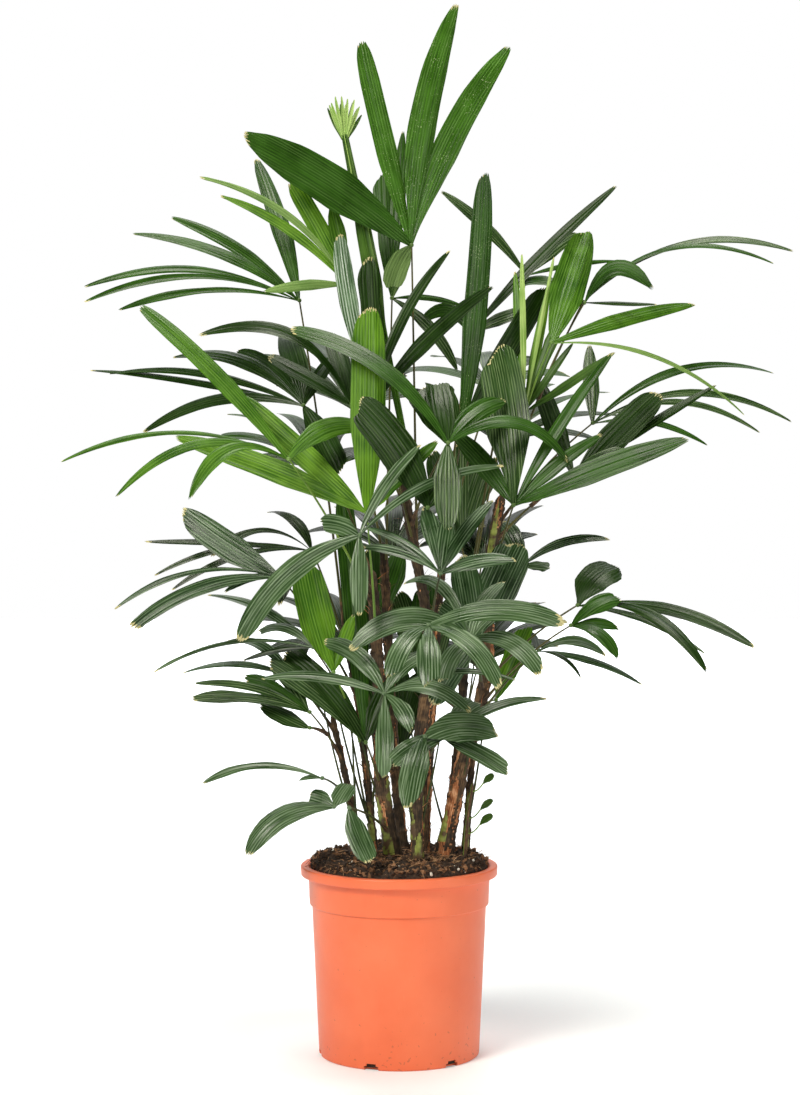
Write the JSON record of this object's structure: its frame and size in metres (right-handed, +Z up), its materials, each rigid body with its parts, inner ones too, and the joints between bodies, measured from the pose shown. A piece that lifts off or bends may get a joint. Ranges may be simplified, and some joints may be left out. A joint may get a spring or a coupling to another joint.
{
  "type": "lady palm in a nursery pot",
  "caption": "Clump of slim fibrous canes with fan-shaped fronds of long pleated leaflets, in a tapered round plastic nursery pot filled with soil.",
  "frame": {"origin": "centre of the flat underside of the pot", "axes": "+Z up along the pot's axis, -Y towards the front"},
  "size_m": [0.9138, 0.6797, 1.2895],
  "materials": {
    "pot": "satin moulded plastic, orange",
    "soil": "moist crumbly peat mix",
    "cane": "stems wrapped in coarse brown fibre",
    "young_leaf": "bright new leaf, satin",
    "ripe_leaf": "dark green pleated leaf, glossy",
    "old_leaf": "dull blue-green leaf with pale streaks"
  },
  "bodies": {
    "root": {"pot": "pot", "soil": "soil", "cane_left": "cane", "cane_inner_left": "cane", "cane_middle": "cane", "cane_tall": "cane", "cane_inner_right": "cane", "cane_right": "cane", "cane_outer_right": "cane", "cane_back": "cane", "cane_back_right": "cane", "shoot": "young_leaf", "frond_01": "ripe_leaf", "spear_01": "young_leaf", "frond_02": "ripe_leaf", "frond_03": "young_leaf", "frond_04": "young_leaf", "frond_05": "ripe_leaf", "frond_06": "ripe_leaf", "frond_07": "young_leaf", "frond_08": "ripe_leaf", "frond_09": "ripe_leaf", "frond_10": "ripe_leaf", "frond_11": "young_leaf", "frond_12": "ripe_leaf", "frond_13": "ripe_leaf", "frond_14": "ripe_leaf", "frond_15": "young_leaf", "frond_16": "old_leaf", "frond_17": "old_leaf", "frond_18": "old_leaf", "frond_19": "old_leaf", "frond_20": "ripe_leaf", "frond_21": "ripe_leaf", "frond_22": "old_leaf", "frond_23": "old_leaf", "frond_24": "old_leaf", "frond_25": "old_leaf", "frond_26": "old_leaf", "frond_27": "old_leaf", "frond_28": "old_leaf", "frond_29": "old_leaf", "frond_30": "ripe_leaf", "frond_31": "old_leaf", "frond_32": "ripe_leaf", "frond_33": "old_leaf", "frond_34": "old_leaf", "frond_35": "ripe_leaf", "frond_36": "ripe_leaf", "frond_37": "ripe_leaf", "frond_38": "ripe_leaf", "frond_39": "young_leaf", "frond_40": "ripe_leaf", "frond_41": "ripe_leaf", "frond_42": "ripe_leaf", "frond_43": "old_leaf", "frond_44": "old_leaf", "frond_45": "old_leaf", "frond_46": "old_leaf", "frond_47": "ripe_leaf"}
  },
  "joints": []
}
